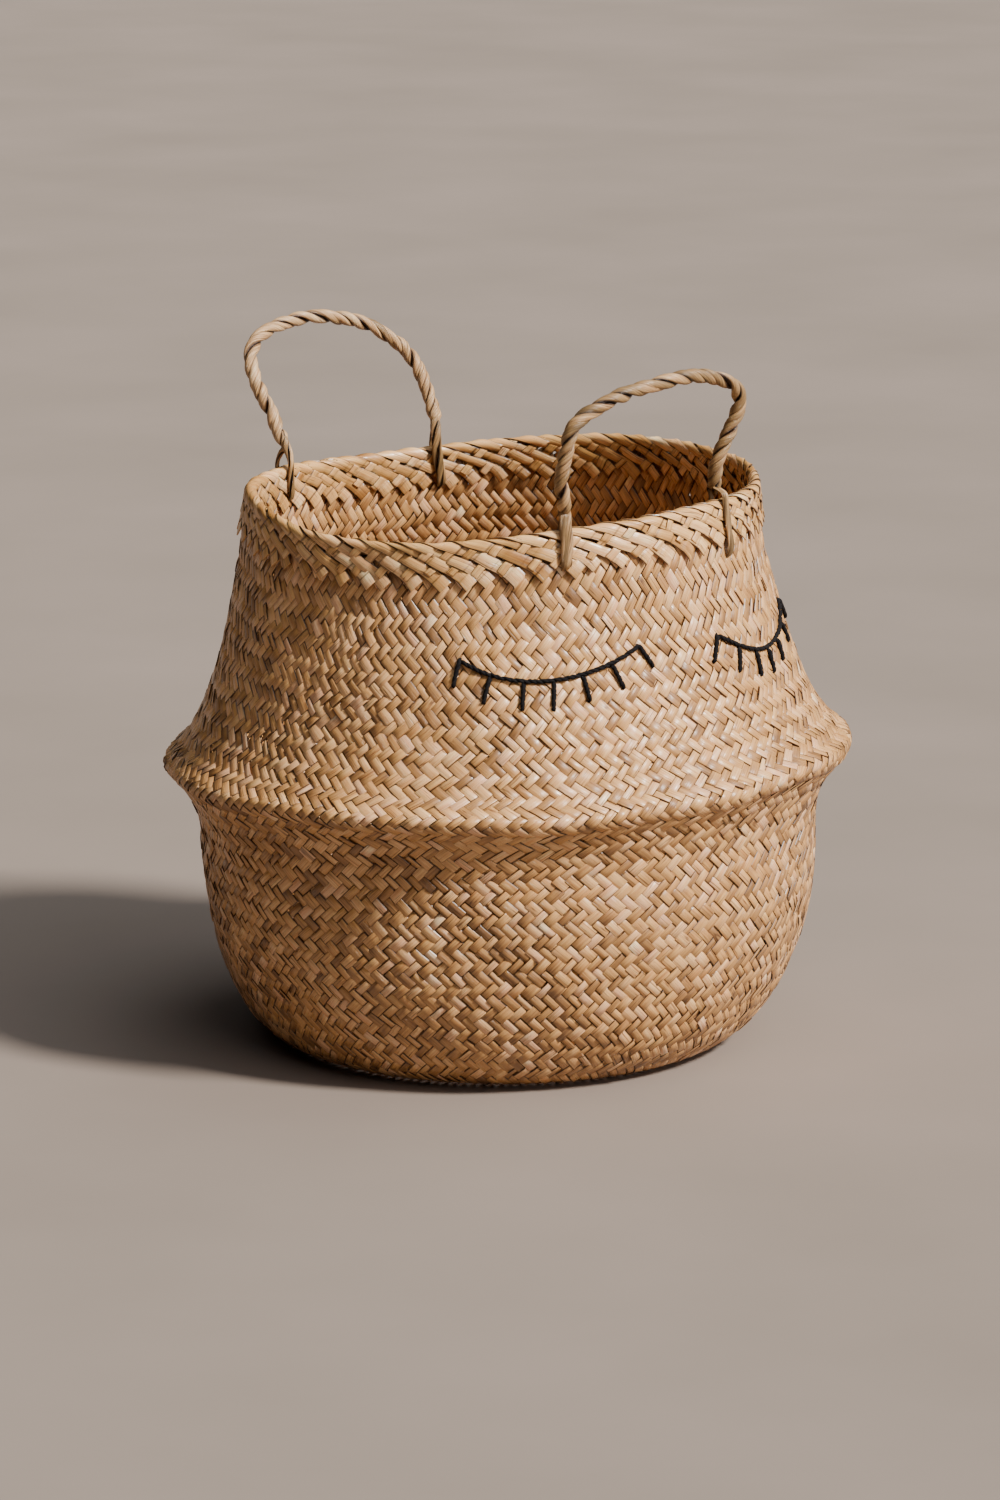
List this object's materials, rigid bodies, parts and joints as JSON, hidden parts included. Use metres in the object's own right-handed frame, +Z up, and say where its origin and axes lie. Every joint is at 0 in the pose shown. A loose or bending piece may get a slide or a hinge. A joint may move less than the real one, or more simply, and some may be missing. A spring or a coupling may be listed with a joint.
{
  "type": "rush basket",
  "caption": "Round plaited rush basket with a folded belly ridge, a shoulder that leans in to a short collar, rope handles and stitched closed eyes.",
  "frame": {"origin": "centre of the flat base, on the surface that the basket stands on", "axes": "+Z up; the stitched eyes and the front handle face -Y, and the back handle is at +Y"},
  "size_m": [0.45, 0.45, 0.463],
  "materials": {
    "plait": "matte",
    "border_strands": "matte",
    "twisted_rope": "matte",
    "handle_strands": "matte",
    "yarn": "matte"
  },
  "bodies": {
    "bowl": {"bowl": "plait", "shoulder": "plait", "left_eye_lid": "yarn", "left_eye_lash_1": "yarn", "left_eye_lash_2": "yarn", "left_eye_lash_3": "yarn", "left_eye_lash_4": "yarn", "left_eye_lash_5": "yarn", "left_eye_lash_6": "yarn", "left_eye_lash_7": "yarn", "right_eye_lid": "yarn", "right_eye_lash_1": "yarn", "right_eye_lash_2": "yarn", "right_eye_lash_3": "yarn", "right_eye_lash_4": "yarn", "right_eye_lash_5": "yarn", "right_eye_lash_6": "yarn", "right_eye_lash_7": "yarn"},
    "collar": {"collar": "plait", "rim_border": "border_strands", "front_left_loop": "handle_strands", "front_right_loop": "handle_strands", "back_left_loop": "handle_strands", "back_right_loop": "handle_strands"},
    "front_handle": {"front_handle_rope": "twisted_rope"},
    "back_handle": {"back_handle_rope": "twisted_rope"}
  },
  "joints": [
    {"name": "collar_fold", "type": "slide", "parent": "bowl", "child": "collar", "axis": [0, 0, -1], "range_m": [0, 0.15], "deforming": ["shoulder", "left_eye_lid", "left_eye_lash_1", "left_eye_lash_2", "left_eye_lash_3", "left_eye_lash_4", "left_eye_lash_5", "left_eye_lash_6", "left_eye_lash_7", "right_eye_lid", "right_eye_lash_1", "right_eye_lash_2", "right_eye_lash_3", "right_eye_lash_4", "right_eye_lash_5", "right_eye_lash_6", "right_eye_lash_7"]},
    {"name": "front_handle_swing", "type": "hinge", "parent": "collar", "child": "front_handle", "pos_m": [0, -0.14998, 0.37679], "axis": [1, 0, 0], "range_deg": [-92, 63]},
    {"name": "back_handle_swing", "type": "hinge", "parent": "collar", "child": "back_handle", "pos_m": [0, 0.14998, 0.37679], "axis": [-1, 0, 0], "range_deg": [-108, 47]}
  ]
}
